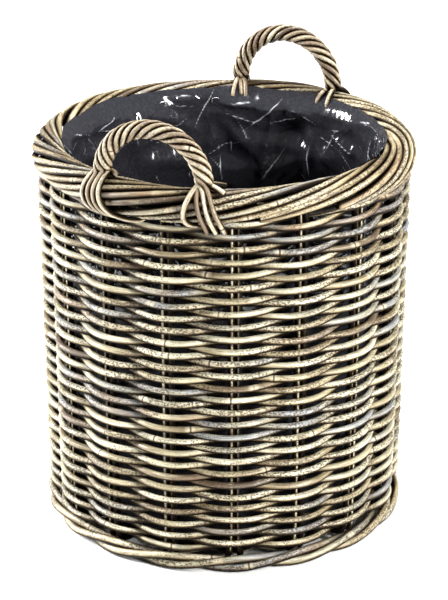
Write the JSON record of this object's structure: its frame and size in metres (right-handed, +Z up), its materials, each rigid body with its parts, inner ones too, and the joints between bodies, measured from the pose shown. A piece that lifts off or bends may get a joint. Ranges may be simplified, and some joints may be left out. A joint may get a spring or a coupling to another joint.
{
  "type": "wicker log basket",
  "caption": "Round woven cane log basket with a rolled rim, twisted foot, two roped hoop handles and a black polythene liner.",
  "frame": {"origin": "on the floor under the middle of the basket", "axes": "+Z up, handles at -Y (front) and +Y (back)"},
  "size_m": [0.4975, 0.4974, 0.6076],
  "materials": {
    "weaver_cane": "weathered grey-brown cane, satin bark with dark flecks",
    "stake_cane": "weathered grey-brown cane, satin",
    "foot_cane": "weathered grey-brown cane, satin",
    "base_cane": "weathered grey-brown cane, matt",
    "handle_cane": "thin split-free cane, brown with pale edges, satin",
    "liner_polythene": "black polythene film, creased, glossy",
    "staple_wire": "thin galvanised wire"
  },
  "bodies": {
    "root": {"base_sticks_across": "base_cane", "base_sticks_along": "base_cane", "base_weaver_inner": "base_cane", "base_weaver_outer": "base_cane", "foot_wale_1": "foot_cane", "foot_wale_2": "foot_cane", "foot_wale_3": "foot_cane", "handle_back_core": "handle_cane", "handle_back_strand_1": "handle_cane", "handle_back_strand_2": "handle_cane", "handle_back_strand_3": "handle_cane", "handle_back_strand_4": "handle_cane", "handle_back_strand_5": "handle_cane", "handle_back_strand_6": "handle_cane", "handle_front_core": "handle_cane", "handle_front_strand_1": "handle_cane", "handle_front_strand_2": "handle_cane", "handle_front_strand_3": "handle_cane", "handle_front_strand_4": "handle_cane", "handle_front_strand_5": "handle_cane", "handle_front_strand_6": "handle_cane", "liner_bag": "liner_polythene", "liner_staples": "staple_wire", "side_weaver_01": "weaver_cane", "side_weaver_02": "weaver_cane", "side_weaver_03": "weaver_cane", "side_weaver_04": "weaver_cane", "side_weaver_05": "weaver_cane", "side_weaver_06": "weaver_cane", "side_weaver_07": "weaver_cane", "side_weaver_08": "weaver_cane", "side_weaver_09": "weaver_cane", "side_weaver_10": "weaver_cane", "side_weaver_11": "weaver_cane", "side_weaver_12": "weaver_cane", "side_weaver_13": "weaver_cane", "stake_pair_01": "stake_cane", "stake_pair_02": "stake_cane", "stake_pair_03": "stake_cane", "stake_pair_04": "stake_cane", "stake_pair_05": "stake_cane", "stake_pair_06": "stake_cane", "stake_pair_07": "stake_cane", "stake_pair_08": "stake_cane", "stake_pair_09": "stake_cane", "stake_pair_10": "stake_cane", "stake_pair_11": "stake_cane", "stake_pair_12": "stake_cane", "stake_pair_13": "stake_cane", "stake_pair_14": "stake_cane", "stake_pair_15": "stake_cane", "stake_pair_16": "stake_cane", "stake_pair_17": "stake_cane"}
  },
  "joints": []
}
